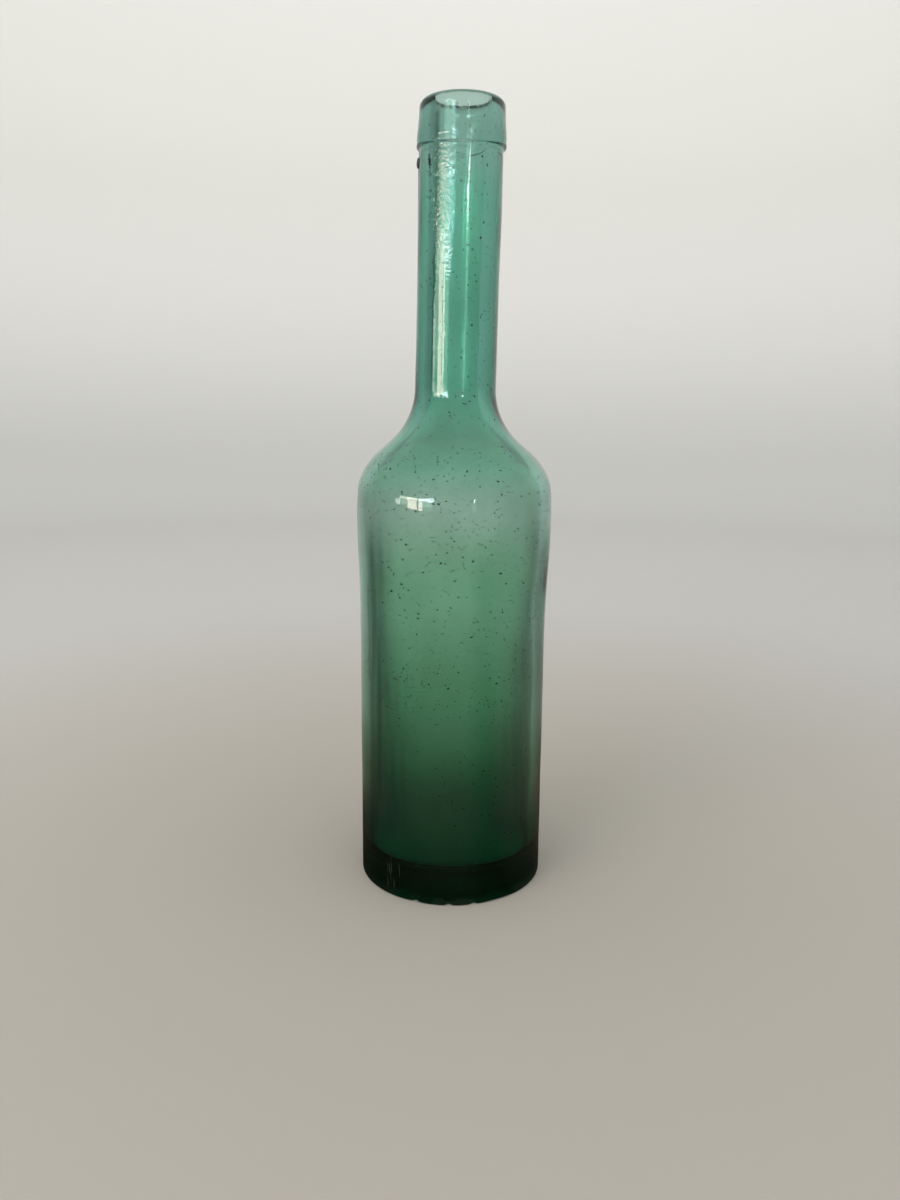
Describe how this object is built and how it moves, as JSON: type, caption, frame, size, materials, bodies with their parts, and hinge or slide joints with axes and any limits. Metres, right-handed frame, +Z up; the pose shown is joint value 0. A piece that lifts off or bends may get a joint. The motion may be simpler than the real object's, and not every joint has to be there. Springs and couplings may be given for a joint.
{
  "type": "glass bottle",
  "caption": "Tall mouth-blown green glass bottle with a thick base, straight body, round shoulders, long slightly leaning neck and a separately laid lip collar, open at the mouth.",
  "frame": {"origin": "centre of the standing ring, on the surface the bottle stands on", "axes": "+Z up along the body, +X towards the side that the neck leans to, which is right in the picture, -Y towards the picture's camera"},
  "size_m": [0.0636, 0.0636, 0.25],
  "materials": {
    "body_glass": "glossy outside, faintly hazy inside, wavy, with many small seeds",
    "collar_glass": "glossy and tooled, with fine turning lines and a rough inner edge"
  },
  "bodies": {
    "root": {"bottle_body": "body_glass", "lip_collar": "collar_glass"}
  },
  "joints": []
}
